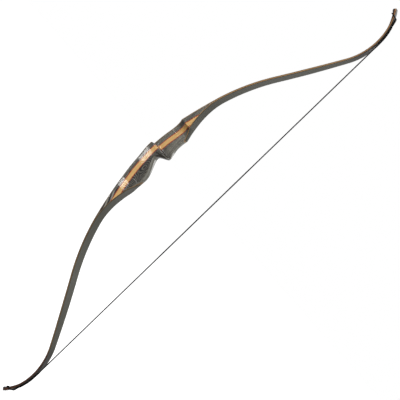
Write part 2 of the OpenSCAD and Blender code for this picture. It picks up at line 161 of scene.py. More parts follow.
def eased(x, knots):
    """A value at x, eased from knot to knot."""
    for (x0, v0), (x1, v1) in zip(knots, knots[1:]):
        if x <= x1:
            return v0 + (v1 - v0) * ease((x - x0) / (x1 - x0))
    return knots[-1][1]


# The belly of the riser: the corners where its laminations start, their ramp to the limb, the palm
# swell, the throat, the corner of the web, and the scoop of the sight window.
UPPER_CORNER, LOWER_CORNER = 90.0, 82.0
FADE_Z = back(FADE_S)[1] + 10
FADE_BELLY = layer_y(FADE_Z, ROOT_T)
RAMP_OUT, RAMP_SLOPE = 21.0, math.tan(math.radians(15))
PALM_Z, PALM_OUT, PALM_POWER, THROAT = 62.0, 22.5, 1.15, 3.0
SHELF_Z, WEB_OUT, WEB_TOP, WEB_Z = 26.0, 25.5, 29.5, 24.0
SCOOP_OUT, SCOOP_Z = 15.5, 60.0
# The window's wall, seen along the bow, its round run-out above, and the radii of the shelf's rim.
WALL_X, WALL_TOP, SCOOP_R, SCOOP_END = 3.0, 80.0, 54.0, 124.0
RIM_R, RIM_FINE_R = 4.5, 2.0
SHELF_DROP, DROP_FROM, DROP_LEN, DROP_POWER = 2.8, 22, 17, 1.3


def ramp_y(z):
    """Belly of the riser's ends, a cubic from the corner's line to the limb's own line."""
    z = abs(z)
    if z >= FADE_Z:
        return layer_y(z, ROOT_T)
    if z < LOWER_CORNER:
        return -RAMP_OUT - (LOWER_CORNER - z) * RAMP_SLOPE
    n = FADE_Z - LOWER_CORNER
    t = (z - LOWER_CORNER) / n
    return (-RAMP_OUT * (2 * t ** 3 - 3 * t * t + 1) + n * RAMP_SLOPE * (t ** 3 - 2 * t * t + t)
            + FADE_BELLY * (3 * t * t - 2 * t ** 3) - n * math.tan(slope(FADE_Z)) * (t ** 3 - t * t))


def lam_rise(z):
    """Thickness of the belly's core and glass together, measured along y."""
    return PAIR_T / math.cos(slope(z))


def belly_y(z):
    """The riser's belly line, from the lower limb up over palm swell, throat, web and scoop."""
    if z <= -LOWER_CORNER or z >= UPPER_CORNER:
        return ramp_y(z)
    if z < -PALM_Z:
        return -PALM_OUT + (PALM_OUT + ramp_y(LOWER_CORNER)) * ease((-PALM_Z - z) / (LOWER_CORNER - PALM_Z))
    if z < -THROAT:
        return -PALM_OUT * math.sin(math.pi / 2 * ((-THROAT - z) / (PALM_Z - THROAT)) ** PALM_POWER)
    if z < THROAT:
        return 0.0
    if z < WEB_Z:
        return -WEB_OUT * ease((z - THROAT) / (WEB_Z - THROAT))
    if z < WEB_TOP:
        return -WEB_OUT
    if z < SCOOP_Z:
        return -SCOOP_OUT - (WEB_OUT - SCOOP_OUT) * ((SCOOP_Z - z) / (SCOOP_Z - WEB_TOP)) ** 2
    return -SCOOP_OUT + (SCOOP_OUT + ramp_y(UPPER_CORNER)) * ((z - SCOOP_Z) / (UPPER_CORNER - SCOOP_Z)) ** 2


def wood_belly(z):
    return max(belly_y(z), ramp_y(z) + lam_rise(z))


# Half widths of the bow along z, and how far its edges are rounded: at the back (a share), at the belly
# of the grip (a share) and at the plain belly (mm).
MID_Z = back(FADE_S + 0.45 * (END_S - FADE_S))[1]
LIMB_Z = [back(FADE_S)[1], MID_Z, back(NOCK_S)[1]]
LIMB_HALF = [19.5, 18.0, TIP_HALF]
FULL_HALF, GRIP_HALF, GRIP_LOW, GRIP_TOP = 20, 17, -40, 20
GRIP_STRAIGHT, GRIP_EASED = 0.55, 0.45
FACET_Z, FACET_TAPER, FACET_RUN, FACET_EASE = -121.0, 0.076, 22, 34


def limb_half(z):
    return float(np.interp(abs(z), LIMB_Z, LIMB_HALF))


HALF_KNOTS = [(-FADE_Z, limb_half(FADE_Z)), (FACET_Z, FULL_HALF), (-LOWER_CORNER, 17.7),
              (GRIP_LOW, GRIP_HALF), (GRIP_TOP, FULL_HALF), (117, FULL_HALF), (FADE_Z, limb_half(FADE_Z))]
BACK_KNOTS = [(-FADE_Z, 0), (-LOWER_CORNER, 1), (-31, 1), (13, 0.25), (117, 0.25), (FADE_Z, 0)]
BELLY_KNOTS = [(-114.8, 0), (-77.9, 1), (THROAT, 1), (SHELF_Z, 0.8), (45.5, 0)]
PLAIN_KNOTS = [(-FADE_Z, 0.6), (-LOWER_CORNER, 2.5), (UPPER_CORNER, 2.5), (FADE_Z, 0.6)]
# The grip's roundings: how deep and how far across, at the belly and at the back.
BELLY_DEEP, BELLY_ACROSS = 21.5, 12.5
BACK_LEAST, BACK_DEEP, BACK_ACROSS = 0.6, 5.4, 10.4
# The crisp edge of the grip's side panel: its distance from the belly, the panel's own fullness, and
# the line that the edge follows.
CREASE_PLAIN, CREASE_LEAST, CREASE_MOST, PANEL_FULL = 2.5, 4.5, 9.5, 0.7
CREASE_Y, CREASE_Z, CREASE_SLOPE = -21.5, -79, 0.33
CREASE_LOW_RUN, CREASE_TOP_RUN, CREASE_SHARE = 3, 10, 0.4
# The stripe's side stays flat from here up to the shelf.
FLAT_LOW, FLAT_LOW_RUN, FLAT_TOP_RUN, FLAT_MARGIN = -50, 15, 8, 0.5
# Towards the riser's ends the sides lean in at the belly.
LEAN, LEAN_DEPTH, LEAN_LOW_RUN = 0.03, 3, 9
LEAN_START, LEAN_RUN, LEAN_END, LEAN_FADE = 101, 16, 228, 40
LEAST_HALF = 1.5
# Depths of the riser's layers below the back.
VENEER_TOP, STRIPE_TOP, STRIPE_LOW, VENEER_LOW = 14.1, 16.0, 27.4, 29.3


def half_w(z):
    """Half width of the bow where its side is not rounded."""
    if FACET_Z < z < -LOWER_CORNER:
        t = z - FACET_Z
        return FULL_HALF - FACET_TAPER * (t if t < FACET_RUN else t - (t - FACET_RUN) ** 2 / FACET_EASE)
    if GRIP_LOW < z < GRIP_TOP:
        t = (z - GRIP_LOW) / (GRIP_TOP - GRIP_LOW)
        return GRIP_HALF + (FULL_HALF - GRIP_HALF) * (GRIP_STRAIGHT * t + GRIP_EASED * ease(t))
    return limb_half(z) if abs(z) >= FADE_Z else eased(z, HALF_KNOTS)


def rounded(inside, deep, across):
    """What an elliptical rounding takes off, at a distance inside its edge."""
    if inside >= deep:
        return 0.0
    return across * (1 - math.sqrt(max(0.0, 1 - ((deep - inside) / deep) ** 2)))


def crease(z):
    """How far in from the belly the grip's side panel starts, and how crisply."""
    strength = ease((z + LOWER_CORNER) / CREASE_LOW_RUN) * ease((GRIP_TOP - z) / CREASE_TOP_RUN)
    if strength == 0:
        return CREASE_PLAIN, 0.0
    line = CREASE_Y + (z - CREASE_Z) * CREASE_SLOPE
    inside = max(CREASE_LEAST, min(CREASE_MOST, line - belly_y(z)))
    return CREASE_PLAIN + (inside - CREASE_PLAIN) * strength, strength


def side(y, z):
    """Half width of the riser at a point of its side."""
    grip, plain, share = eased(z, BELLY_KNOTS), eased(z, PLAIN_KNOTS), eased(z, BACK_KNOTS)
    inside, out = max(0.0, y - belly_y(z)), max(0.0, back_y(z) - y)
    deep, across = plain + BELLY_DEEP * grip, plain + BELLY_ACROSS * grip
    if FLAT_LOW < z < SHELF_Z:
        flat = layer_y(z, VENEER_LOW) - belly_y(z) - FLAT_MARGIN
        deep -= (max(0.0, deep - flat) * ease((z - FLAT_LOW) / FLAT_LOW_RUN)
                 * ease((SHELF_Z - z) / FLAT_TOP_RUN))
    lost = rounded(inside, deep, across)
    start, strength = crease(z)
    start = min(start, CREASE_SHARE * deep)
    if strength and start < inside < deep:
        t = (inside - start) / (deep - start)
        panel = rounded(start, deep, across) * (1 - t) + PANEL_FULL * math.sin(math.pi * t)
        lost += (panel - lost) * strength
    lean = ease((FACET_Z - z) / LEAN_LOW_RUN) if z < 0 else ease((z - LEAN_START) / LEAN_RUN)
    lost += LEAN * lean * max(0.0, out - LEAN_DEPTH) * ease((LEAN_END - abs(z)) / LEAN_FADE)
    at_back = rounded(out, BACK_LEAST + BACK_DEEP * share, BACK_LEAST + BACK_ACROSS * share)
    return max(LEAST_HALF, half_w(z) - lost - at_back)


def wall(z):
    """Where the sight window's wall stands, to the archer's right of the middle."""
    if z <= WALL_TOP:
        return WALL_X
    return WALL_X - SCOOP_R + math.sqrt(max(0.0, SCOOP_R ** 2 - (z - WALL_TOP) ** 2))


# Mesh helpers.
MERGE, NO_AREA = 2e-6, 1e-6
LEAST_STEP, SNAP = 0.4, 0.3
SPECIAL_Z = [FACET_Z, -LOWER_CORNER, -PALM_Z, -THROAT, THROAT, WEB_Z, WEB_TOP, SHELF_Z, SCOOP_Z, WALL_TOP,
             UPPER_CORNER, SCOOP_END]


def ring_step(z):
    """Distance to the riser's next ring, finest at the arrow shelf."""
    if abs(z) > 130:
        return 3.0
    return 0.4 if 23 < z < 26 else 0.8 if 18 < z < 34 else 1.8


def heights(low, high):
    """Heights of the riser's rings. No special height is missed."""
    out, z = [low], low
    while z < high - LEAST_STEP:
        following = z + ring_step(z)
        for special in SPECIAL_Z:
            if z + SNAP < special <= following + SNAP:
                following = special
        z = min(following, high)
        out.append(z)
    if high - out[-2] < LEAST_STEP:
        out.pop(-2)
    return out


def clean(bm):
    """Merges points that coincide, drops faces without area and shades the rest smoothly."""
    bmesh.ops.remove_doubles(bm, verts=bm.verts, dist=MERGE)
    bmesh.ops.dissolve_degenerate(bm, dist=NO_AREA, edges=bm.edges)
    for f in bm.faces:
        f.smooth = True


def sharpen(obj, degrees):
    """Marks edges above an angle as crisp, and keeps those marked before."""
    bm = bmesh.new()
    bm.from_mesh(obj.data)
    limit = math.radians(degrees)
    for e in bm.edges:
        if len(e.link_faces) != 2 or e.calc_face_angle(0) > limit:
            e.smooth = False
    bm.to_mesh(obj.data)
    bm.free()


def mesh_object(name, points, faces, sharp, creases):
    """A closed piece from points in millimetres. creases are pairs of points whose edge stays crisp."""
    bm = bmesh.new()
    corners = [bm.verts.new((p[0] * MM, p[1] * MM, p[2] * MM)) for p in points]
    for f in faces:
        bm.faces.new([corners[k] for k in f])
    for a, b in creases:
        e = bm.edges.get((corners[a], corners[b]))
        if e:
            e.smooth = False
    clean(bm)
    bmesh.ops.recalc_face_normals(bm, faces=bm.faces)
    mesh = bpy.data.meshes.new(name)
    bm.to_mesh(mesh)
    bm.free()
    obj = bpy.data.objects.new(name, mesh)
    scene.collection.objects.link(obj)
    sharpen(obj, sharp)
    return obj


def whole(right):
    """A ring from its right half, which goes back along the left."""
    return right + [(-x, y, z) for x, y, z in right[::-1]]


def flipped(path, mirror):
    return [(x, y, -z) for x, y, z in path] if mirror else path


def loft(name, rings, sharp=40, crease_cols=(), crease_rows=(), closed=False, extra=()):
    """A skin over rings of equal count, with flat ends or closed into a loop."""
    n, count = len(rings[0]), len(rings)
    points = [p for ring in rings for p in ring]
    faces = []
    for i in range(count if closed else count - 1):
        j = (i + 1) % count
        for k in range(n):
            m = (k + 1) % n
            faces.append((i * n + k, i * n + m, j * n + m, j * n + k))
    if not closed:
        last = (count - 1) * n
        for k in range(n // 2 - 1):
            faces.append((k, k + 1, n - 2 - k, n - 1 - k))
            faces.append((last + k, last + k + 1, last + n - 2 - k, last + n - 1 - k))
    creases = [(i * n + k, (i + 1) * n + k) for k in crease_cols for i in range(count - 1)]
    creases += [(i * n + k, i * n + (k + 1) % n) for i in crease_rows for k in range(n)]
    return mesh_object(name, points, faces, sharp, creases + list(extra))


def cut(obj, cutter, sharp=30):
    """Takes the cutter out of a piece."""
    mod = obj.modifiers.new("window", "BOOLEAN")
    mod.operation, mod.solver, mod.object = "DIFFERENCE", "EXACT", cutter
    depsgraph = bpy.context.evaluated_depsgraph_get()
    mesh = bpy.data.meshes.new_from_object(obj.evaluated_get(depsgraph))
    obj.modifiers.clear()
    old = obj.data
    obj.data = mesh
    bpy.data.meshes.remove(old)
    bm = bmesh.new()
    bm.from_mesh(obj.data)
    clean(bm)
    bm.to_mesh(obj.data)
    bm.free()
    sharpen(obj, sharp)


def keep_vectors(obj, name, values):
    """Stores a vector for each point of a piece, for its material."""
    attribute = obj.data.attributes.new(name, "FLOAT_VECTOR", "POINT")
    attribute.data.foreach_set("vector", np.array(values, np.float32).ravel())


def bow_coords(obj):
    """Keeps each point's place across, into and along the bow, for the materials of pieces that move."""
    co = np.empty(len(obj.data.vertices) * 3)
    obj.data.vertices.foreach_get("co", co)
    co = co.reshape(-1, 3) / MM
    s = np.interp(np.abs(co[:, 2]), TABLE_Z, TABLE_S)
    # a few steps towards the place on the back that lies square to the point
    for _ in range(3):
        a = np.interp(s, TABLE_S, TABLE_A)
        dy = co[:, 1] - np.interp(s, TABLE_S, TABLE_Y)
        dz = np.abs(co[:, 2]) - np.interp(s, TABLE_S, TABLE_Z)
        s = np.clip(s - np.sin(a) * dy + np.cos(a) * dz, 0, END_S)
        depth = -(np.cos(a) * dy + np.sin(a) * dz)
    keep_vectors(obj, "bow", np.stack([co[:, 0], depth, s * np.sign(co[:, 2])], 1) * MM)


# Riser wood.
CUT_BELLY, CUT_BACK, CUT_LEFT, CUT_TOP = -70.0, 90.0, -60.0, 134
EDGE, EDGE_BELLY, EDGE_BACK, FOOT_R, DROP_RUN = 3.0, 2.4, 0.6, 2.5, 8
EDGE_ROWS, FLAT_ROWS = (-0.3, 0, 0.08, 0.2, 0.36, 0.56, 0.78, 1.0), 12
FOOT_STATIONS, WALL_FROM = (0, 0.25, 0.6, 1.1, 1.7, 2.5, 4, 6, 8), 36.0
AT_FACE, AT_SHELF = 0.5, 0.1
NOSE_ROWS, CREASE_SEEN, PAST_BELLY = 10, 0.25, 160
LAYER_LEAST, REACH_FROM, HALVINGS = 0.3, 92.0, 30
MIDDLE_REACH, MIDDLE_ROWS = 230.0, (0, 0.25, 0.5, 0.75, 1)


def shelf_drop(y):
    """How far the arrow shelf falls away towards the back."""
    return SHELF_DROP * ease((y - DROP_FROM) / DROP_LEN) ** DROP_POWER


def window_cutter():
    """The room that the sight window and the shelf take out of the riser's left side."""
    rings = []
    stations = [SHELF_Z + d for d in FOOT_STATIONS]
    z = WALL_FROM
    while z < CUT_TOP:
        stations.append(z)
        z += 2.0 if z < WALL_TOP else 1.2
    for z in stations:
        belly, top = belly_y(z), back_y(z)
        levels = [CUT_BELLY] + [belly + EDGE * f for f in EDGE_ROWS]
        levels += list(np.linspace(belly + EDGE, top - EDGE, FLAT_ROWS)[1:-1])
        levels += [top - EDGE * f for f in EDGE_ROWS[::-1]] + [CUT_BACK]
        above = max(0.0, FOOT_R - (z - SHELF_Z))
        foot = FOOT_R - math.sqrt(max(0.0, FOOT_R ** 2 - above ** 2))
        fading = max(0.0, 1 - (z - SHELF_Z) / DROP_RUN)
        right, left = [], []
        for y in levels:
            x = wall(z) - foot
            x += rounded(max(0.0, y - belly), EDGE, EDGE_BELLY) + rounded(max(0.0, top - y), EDGE, EDGE_BACK)
            drop = shelf_drop(y) * fading
            right.append((x, y, z - drop))
            left.append((CUT_LEFT, y, z - drop))
        rings.append(right + left[::-1])
    return loft("window_cutter", rings)


def layer_reach(outer):
    """The height at which a layer of the riser has run out on the ramp."""
    low, high = REACH_FROM, FADE_Z
    for _ in range(HALVINGS):
        mid = (low + high) / 2
        if layer_y(mid, outer) - wood_belly(mid) > LAYER_LEAST:
            low = mid
        else:
            high = mid
    return low


def wood_layer(name, outer, inner, levels, nosed=False):
    """A layer of the riser between two depths. The nosed one carries the belly and its crisp edge."""
    reach = layer_reach(outer)
    zs = heights(-reach, reach)
    rings, crisp = [], []
    for z in zs:
        y1 = layer_y(z, outer)
        y0 = max(layer_y(z, inner), wood_belly(z))
        if nosed:
            start, strength = crease(z)
            start = min(max(0.05, start - (y0 - belly_y(z))), 0.6 * (y1 - y0))
            ys = [y0 + start * (k / NOSE_ROWS) ** 2 for k in range(NOSE_ROWS)]
            ys += [y0 + start + (y1 - y0 - start) * k / (levels - 1) for k in range(levels)]
            crisp.append(strength > CREASE_SEEN)
        else:
            ys = [y0 + (y1 - y0) * k / (levels - 1) for k in range(levels)]
        rings.append(whole([(side(y, z), y, z) for y in ys]))
    rows = [i for i, z in enumerate(zs) if z in (-LOWER_CORNER, UPPER_CORNER, WEB_TOP, FACET_Z)]
    n = len(rings[0])
    columns = [n // 2 - 1, n // 2] if nosed else [0, n // 2 - 1, n // 2, n - 1]
    extra = [(i * n + k, (i + 1) * n + k)
             for i, c in enumerate(crisp[:-1]) if c for k in (NOSE_ROWS, n - 1 - NOSE_ROWS)]
    return loft(name, rings, 40, columns, rows, extra=extra)


def rim_pull(radius, rise):
    """How far a rounded rim stands in, at a rise that is negative below its top."""
    inside = max(0.0, min(rise, 0) + radius)
    return radius - math.sqrt(max(0.0, radius * radius - inside ** 2))


def soften_shelf(obj):
    """Rounds the open edges of the arrow shelf, broadly at the side and finely at belly and back."""
    for v in obj.data.vertices:
        x, y, z = (c / MM for c in v.co)
        rise = z + shelf_drop(y) - SHELF_Z
        if x > AT_FACE or rise > AT_SHELF:
            continue
        if x < -side(y, z) + AT_FACE:
            x += rim_pull(RIM_R, rise)
        if y < belly_y(z) + AT_FACE:
            y += rim_pull(RIM_FINE_R, rise)
        elif y > back_y(z) - AT_FACE:
            y -= rim_pull(RIM_FINE_R, rise)
        v.co = (x * MM, y * MM, z * MM)


def back_lamination(name, outer, inner):
    """The middle of a back lamination, which rides on the riser."""
    rings = []
    for z in heights(-MIDDLE_REACH, MIDDLE_REACH):
        ys = [layer_y(z, inner + (outer - inner) * f) for f in MIDDLE_ROWS]
        rings.append(whole([(side(y, z), y, z) for y in ys]))
    n = len(MIDDLE_ROWS)
    return loft(name, rings, 40, (0, n - 1, n, 2 * n - 1))


# Limbs.
TIP_ROUND, TIP_THIN, TIP_FULL = 9.5, 4, 4.2
NECK_S, FINE_S = END_S - 32, 700
GROOVE_R, GROOVE_X, GROOVE_TILT = EYE_R + 0.3, TIP_HALF - 0.2, math.radians(40)
RAMP_TOP, LIMB_FROM = 232, 235.5
# Rows of a strip from its inner face to its outer one, and what is rounded off its side at each row.
STRIP_ROWS = {
    "top": ([0, 0.12, 0.3, 0.65, 1], [0.5, 0.17, 0.03, 0, 0]),
    "low": ([0, 0.35, 0.7, 0.88, 1], [0, 0, 0.03, 0.17, 0.5]),
    None: ([0, 0.5, 1], [0, 0, 0]),
}
OVERLAY_ROWS = ([0, 0.3, 0.55, 0.78, 0.93, 1], [0, 0, 0.12, 0.42, 0.95, 1.9])
# The overlay's knob rises in two steps: each one's height, its distance past the nock and its length.
KNOB_STEPS = ((1.1, 2, 5), (1.5, 8.5, 3.5))


def tip_half(s, depth):
    """Half width of a limb, with its rounded tip and the grooves that hold the string."""
    half = half_w(below(s, depth)[1])
    past = s - (END_S - TIP_ROUND)
    if past > 0:
        half *= math.sqrt(max(0.0, 1 - (past / TIP_ROUND) ** 2))
    middle_depth = (limb_t(NOCK_S) - WEDGE_T - OVERLAY_T) / 2
    off = abs((s - NOCK_S) + (depth - middle_depth) * math.tan(GROOVE_TILT)) * math.cos(GROOVE_TILT)
    if off < GROOVE_R:
        half = min(half, GROOVE_X - math.sqrt(GROOVE_R * GROOVE_R - off * off))
    return max(half, 0.05)


def thin(s, depth):
    """Depth once the very end of the tip is rounded from belly to back."""
    past = s - (END_S - TIP_THIN)
    if past <= 0:
        return depth
    centre = (limb_t(s) - WEDGE_T - OVERLAY_T) / 2
    return centre + (depth - centre) * math.sqrt(max(0.02, 1 - (past / TIP_FULL) ** 2))


def tip_stations():
    return (list(np.arange(NECK_S, END_S - 3.0, 0.75)) + list(np.arange(END_S - 3.0, END_S - 0.05, 0.35))
            + [END_S - 0.03])


def limb_stations(first):
    """Places of a limb's rings, finer towards the tip."""
    return list(np.arange(first, FINE_S, 4.0)) + list(np.arange(FINE_S, NECK_S, 2.0)) + tip_stations()


def belly_root(mirror, rows, is_core):
    """Rings of a belly lamination on the riser, from the corner where it starts."""
    sign, corner = (-1, LOWER_CORNER) if mirror else (1, UPPER_CORNER)
    # shares of the pair's rise: 1 at the wood, 0 at the belly
    seam = GLASS_T / PAIR_T
    rise_in, rise_out = (1.0, seam) if is_core else (seam, 0.0)
    z = corner - 30
    while not ramp_y(z) + lam_rise(z) * rise_in > belly_y(sign * z) + LAYER_LEAST:
        z += 0.5
    zs = [z]
    while z < RAMP_TOP:
        z += 1.5 if z < 140 else 3.0
        if zs[-1] + 0.2 < corner < z + 0.2:
            z = corner
        zs.append(z)
    rings = []
    for z in zs:
        y_in = ramp_y(z) + lam_rise(z) * rise_in
        y_out = max(belly_y(sign * z), ramp_y(z) + lam_rise(z) * rise_out)
        ys = [y_in + (y_out - y_in) * f for f in rows]
        rings.append(whole([(side(y, sign * z), y, z) for y in ys]))
    return rings


def strip(name, mirror, belly, shares, round_at):
    """One lamination from the riser to the tip. shares are its two depths as (glass, core) counts."""
    (g0, c0), (g1, c1) = shares
    rows, lost = STRIP_ROWS[round_at]
    if belly:
        rings, first = belly_root(mirror, rows, round_at is None), s_at(LIMB_FROM) + 2
    else:
        rings, first = [], s_at(MIDDLE_REACH)
    for s in limb_stations(first):
        d0, d1 = g0 * GLASS_T + c0 * core_t(s), g1 * GLASS_T + c1 * core_t(s)
        # a belly strip reaches its full rounding some way out from the riser
        share = 0.6 + 0.4 * min(1.0, max(0.0, (s - first) / 20)) if belly else 1.0
        right = []
        for f, loss in zip(rows, lost):
            d = d0 + (d1 - d0) * f
            y, z = below(s, thin(s, d))
            on_riser = abs(z) < FADE_Z and not belly
            half = side(y, z) if on_riser else tip_half(s, d) - loss * share
            right.append((max(half, 0.04), y, z))
        rings.append(whole(right))
    n = len(rows)
    return loft(name, [flipped(ring, mirror) for ring in rings], 34, (0, n - 1, n, 2 * n - 1))


def tip_strip(name, mirror, low, high, overlay):
    """The wedge or the overlay on the back of a tip, which both grow out of the limb's back."""
    rows, lost = OVERLAY_ROWS if overlay else STRIP_ROWS[None]
    start = END_S - OVERLAY_LEN
    rings = []
    for s in list(np.arange(start + 3, NECK_S, 2.0)) + tip_stations():
        grow = ease((s - start) / (0.6 * OVERLAY_LEN))
        d0, d1 = -low * grow, -high * grow
        if overlay:
            d1 -= sum(height * ease((s - NOCK_S - past) / length) for height, past, length in KNOB_STEPS)
        right = []
        for f, loss in zip(rows, lost):
            d = d0 + (d1 - d0) * f
            y, z = below(s, thin(s, d))
            right.append((max(tip_half(s, d) - loss * grow, 0.03), y, z))
        rings.append(whole(right))
    n = len(rows)
    crisp = (0, 2 * n - 1) if overlay else (0, n - 1, n, 2 * n - 1)
    return loft(name, [flipped(ring, mirror) for ring in rings], 34, crisp)


# String. It leaves the recurve at CONTACT_S, where the belly is parallel to z.
STRING_R, SERVED_R, SEAT = 1.6, 1.7, 0.1
ARC_LEN, ARC_TURN = ARCS[RECURVE_ARC]
CONTACT_S = ARC_ENDS[RECURVE_ARC] + ARC_LEN * TURNS[RECURVE_ARC] / math.radians(-ARC_TURN)
CONTACT_Y, CONTACT_Z = below(CONTACT_S, limb_t(CONTACT_S) + SERVED_R + SEAT)
EYE_LEN = 26.0
EYE_S = NOCK_S - EYE_LEN
# Heights where the centre serving ends and the strands start, the gaps left at the other ends, and how
# the end serving swells.
SERVED_TO, STRANDS_FROM, SERVED_GAP, STRANDS_GAP = 165.15, 163, 0.15, 0.6
SWELL, SWELL_RUN = 0.25, 25


def tube(name, path, radius_at, count, closed):
    """A tube on a path, with its own radius at each distance and angle."""
    pts = [Vector(p) for p in path]
    n = len(pts)
    u = Vector((0, 1, 0) if closed else (1, 0, 0))
    run = 0.0
    frames = []
    for i in range(n):
        a = pts[i - 1] if (i or closed) else pts[0]
        b = pts[(i + 1) % n] if (i < n - 1 or closed) else pts[-1]
        d = (b - a).normalized()
        u = (u - u.dot(d) * d).normalized()
        if i:
            run += (pts[i] - pts[i - 1]).length
        frames.append((d, u, run))
    # a loop's last frame has to meet its first one, so the difference is spread over it
    twist = 0.0
    if closed:
        d, u, _ = frames[0]
        last = (frames[-1][1] - frames[-1][1].dot(d) * d).normalized()
        twist = math.atan2(d.dot(u.cross(last)), u.dot(last))
    rings = []
    for i, (d, u, run) in enumerate(frames):
        v = d.cross(u)
        ring = []
        for k in range(count):
            a = 2 * math.pi * k / count
            r = radius_at(run, a)
            c = a - twist * i / n
            ring.append(tuple(pts[i] + r * (math.cos(c) * u + math.sin(c) * v)))
        rings.append(ring)
    return loft(name, rings, 60, closed=closed)


def lobed(r, lobes, pitch, dent):
    """Radius of a twisted bundle of strands."""
    def radius(run, a):
        return r * (1 - dent * (1 - abs(math.cos(lobes / 2 * (a - 2 * math.pi * run / pitch)))))
    return radius


def eye_path(steps_each):
    """The string's loop: from the belly through both grooves and over the back, a smooth closed curve."""
    low, high = limb_t(NOCK_S) + EYE_R + SEAT, -(WEDGE_T + OVERLAY_T) - EYE_R - SEAT
    rise = (low - high) * math.tan(GROOVE_TILT)
    # place across as a share of the groove's, s, and depth as a share from back (0) to belly (1)
    half = [(0, EYE_S, 1), (0.3, EYE_S + 1.6, 1), (0.36, EYE_S + EYE_LEN / 4, 1.01),
            (0.72, NOCK_S - rise / 2 - 2.5, 1.1), (1.02, NOCK_S - 0.28 * rise, 0.78),
            (1.02, NOCK_S + 0.28 * rise, 0.22), (0.66, NOCK_S + rise / 2 + 1.5, -0.1),
            (0, NOCK_S + rise / 2 + 2.5, -0.12)]
    knots = half + [(-a, b, c) for a, b, c in half[-2:0:-1]]
    n, out = len(knots), []
    for i in range(n):
        a, b, c, d = (np.array(knots[(i + j) % n]) for j in (-1, 0, 1, 2))
        for k in range(steps_each):
            t = k / steps_each
            q = 0.5 * (2 * b + (c - a) * t + (2 * a - 5 * b + 4 * c - d) * t * t
                       + (3 * b - a - 3 * c + d) * t ** 3)
            y, z = below(q[1], high + (low - high) * q[2])
            out.append((GROOVE_X * q[0], y, z))
    return out


# Materials.
def material(name):
    mat = bpy.data.materials.new(name)
    mat.use_nodes = True
    shader = next(n for n in mat.node_tree.nodes if n.type == "BSDF_PRINCIPLED")
    return mat, mat.node_tree, shader


class Nodes:
    """Short calls for building a material's nodes."""

    def __init__(self, tree):
        self.tree = tree

    def new(self, kind, **values):
        node = self.tree.nodes.new("ShaderNode" + kind)
        for key, value in values.items():
            setattr(node, key, value)
        return node

    def link(self, a, b):
        self.tree.links.new(a, b)

    def put(self, socket, value):
        if isinstance(value, (int, float, tuple)):
            socket.default_value = value
        else:
            self.link(value, socket)

    def math(self, op, a, b=0.0):
        node = self.new("Math", operation=op)
        self.put(node.inputs[0], a)
        self.put(node.inputs[1], b)
        return node.outputs[0]

    def noise(self, vector, scale, detail=3.0, rough=0.5):
        node = self.new("TexNoise")
        self.link(vector, node.inputs["Vector"])
        node.inputs["Scale"].default_value = scale
        node.inputs["Detail"].default_value = detail
        node.inputs["Roughness"].default_value = rough
        return node.outputs["Fac"]

    def vector_math(self, op, vector, other):
        node = self.new("VectorMath", operation=op)
        self.link(vector, node.inputs[0])
        node.inputs[1].default_value = other
        return node

    def stretch(self, vector, scale):
        return self.vector_math("MULTIPLY", vector, scale).outputs[0]

    def shift(self, vector, by):
        return self.vector_math("ADD", vector, by).outputs[0]

    def dot(self, vector, direction):
        return self.vector_math("DOT_PRODUCT", vector, direction).outputs["Value"]

    def mix(self, fac, a, b):
        node = self.new("Mix", data_type="RGBA")
        self.put(node.inputs[0], fac)
        for socket, value in ((node.inputs[6], a), (node.inputs[7], b)):
            self.put(socket, (*value, 1) if isinstance(value, tuple) and len(value) == 3 else value)
        return node.outputs[2]

    def range(self, value, a, b, c, d, smooth=False):
        node = self.new("MapRange", interpolation_type="SMOOTHSTEP" if smooth else "LINEAR")
        self.put(node.inputs[0], value)
        for k, v in enumerate((a, b, c, d)):
            node.inputs[k + 1].default_value = v
        return node.outputs[0]

    def toward_tip(self, where, colour, share, tone):
        """The limb darkens where the recurve ends."""
        reach = self.math("ABSOLUTE", self.dot(where, UP))
        return self.mix(self.range(reach, *TIP_DARKENS, 0.0, share, smooth=True), colour, tone)

    def end_grain_and_shade(self, most):
        """How far a surface cuts across the fibres, which run along the bow. Its darkening is partly real
        end grain and partly painted shade on faces that point down or up.
        """
        normal = self.new("TexCoord").outputs["Normal"]
        return self.range(self.math("ABSOLUTE", self.dot(normal, UP)), 0.3, 0.8, 0.0, most, smooth=True)

    def seen_directly(self):
        """1 for what the camera sees, also in a reflection, and 0 for the light that falls on the bow."""
        paths = self.new("LightPath").outputs
        return self.math("MAXIMUM", paths["Is Camera Ray"],
                         self.math("MAXIMUM", paths["Is Glossy Ray"], paths["Is Transmission Ray"]))

    def bump(self, height, distance, strength, shader):
        node = self.new("Bump")
        node.inputs["Strength"].default_value = strength
        node.inputs["Distance"].default_value = distance
        self.link(height, node.inputs["Height"])
        self.link(node.outputs[0], shader.inputs["Normal"])


def srgb(r, g, b):
    return tuple(((c / 255 + 0.055) / 1.055) ** 2.4 if c > 10 else c / 255 / 12.92 for c in (r, g, b))


def darker(colour, share):
    return tuple(c * share for c in colour)


def finish(shader, roughness, specular, coat=0.0, coat_roughness=0.05):
    shader.inputs["Roughness"].default_value = roughness
    shader.inputs["Specular IOR Level"].default_value = specular
    shader.inputs["Coat Weight"].default_value = coat
    shader.inputs["Coat Roughness"].default_value = coat_roughness


RIGHT, UP = (1.0, 0.0, 0.0), (0.0, 0.0, 1.0)
FORWARD, BACKWARD = (0.0, 1.0, 0.0), (0.0, -1.0, 0.0)
TIP_DARKENS = (0.59, 0.64)
# Heights in metres over which the upper limb's core turns pale: painted light, a warm glint on its edges.
CORE_GLINT_RISE = (0.0, 0.2)
# The layered wood: thickness of a dark and a light layer together in mm, and how far below the throat
# the two centres of its rings lie, with the size of the swellings that make them, in metres.
LAYER_PAIR = 1.0
RINGS_BELOW, RING_DEEP, RING_TALL, RING_SWELL = (0.036, 0.083), 0.022, 0.046, 0.0052
SHELF_BAND = (0.024, 0.042)
WOOD_BUMP, FIBRE_BUMP, THREAD_BUMP = 0.00004, 0.00003, 0.00012


